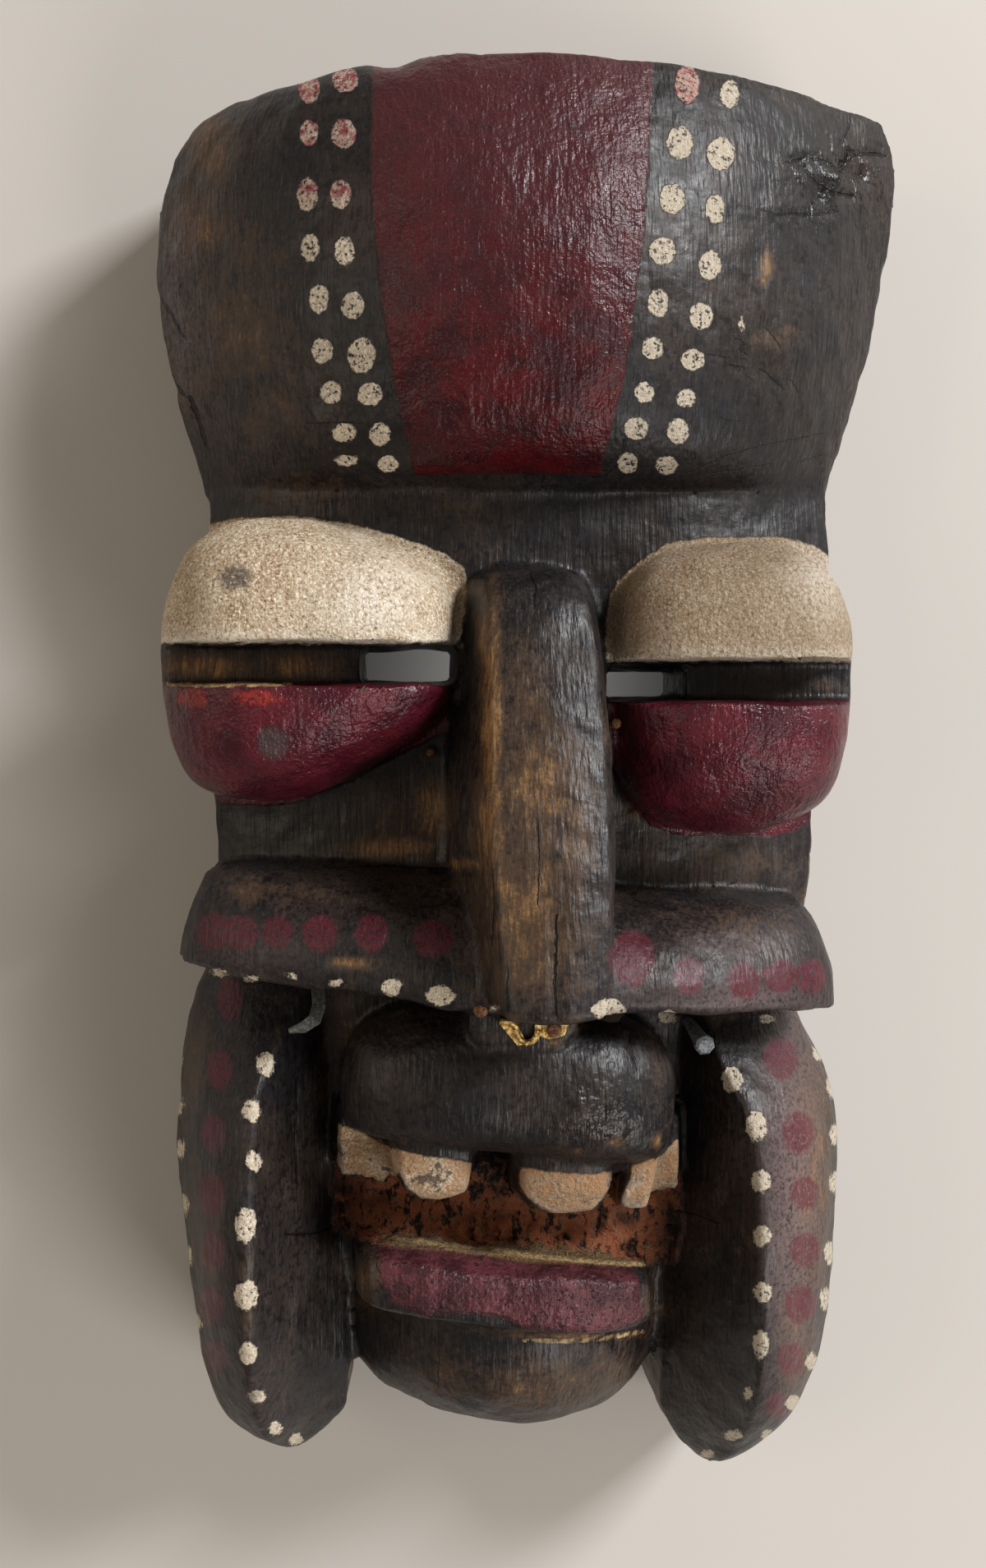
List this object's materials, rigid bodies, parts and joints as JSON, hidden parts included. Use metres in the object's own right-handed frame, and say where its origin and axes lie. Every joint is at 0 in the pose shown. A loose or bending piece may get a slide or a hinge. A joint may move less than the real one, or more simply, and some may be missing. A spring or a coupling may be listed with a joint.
{
  "type": "carved wooden face mask",
  "caption": "Carved wooden face mask with a domed forehead, slotted bulging eyes, a long nose over a cross bar, bared teeth and ridged cheek flaps; hollow behind.",
  "frame": {"origin": "centre of the bounding box, on the plane of the back rim that the mask lies on", "axes": "+Z is the way the face looks (up, as it lies), +Y runs towards the top of the forehead, +X is the viewer's right"},
  "size_m": [0.205, 0.384, 0.122],
  "materials": {
    "carved_wood": "dark stained and painted carved wood, worn",
    "nail_septum_left_iron": "rusty brown iron",
    "nail_septum_right_iron": "rusty brown iron",
    "nail_nose_left_iron": "rusty brown iron",
    "nail_nose_right_iron": "rusty brown iron",
    "bent_brass": "bent, scratched brass",
    "grey_peg": "grey weathered wooden peg",
    "dark_fibre": "dry dark hide or fibre strip"
  },
  "bodies": {
    "root": {"mask": "carved_wood", "nail_septum_left": "nail_septum_left_iron", "nail_septum_right": "nail_septum_right_iron", "nail_nose_left": "nail_nose_left_iron", "nail_nose_right": "nail_nose_right_iron", "brass_hanger": "bent_brass", "peg": "grey_peg", "fibre_strip": "dark_fibre"}
  },
  "joints": []
}
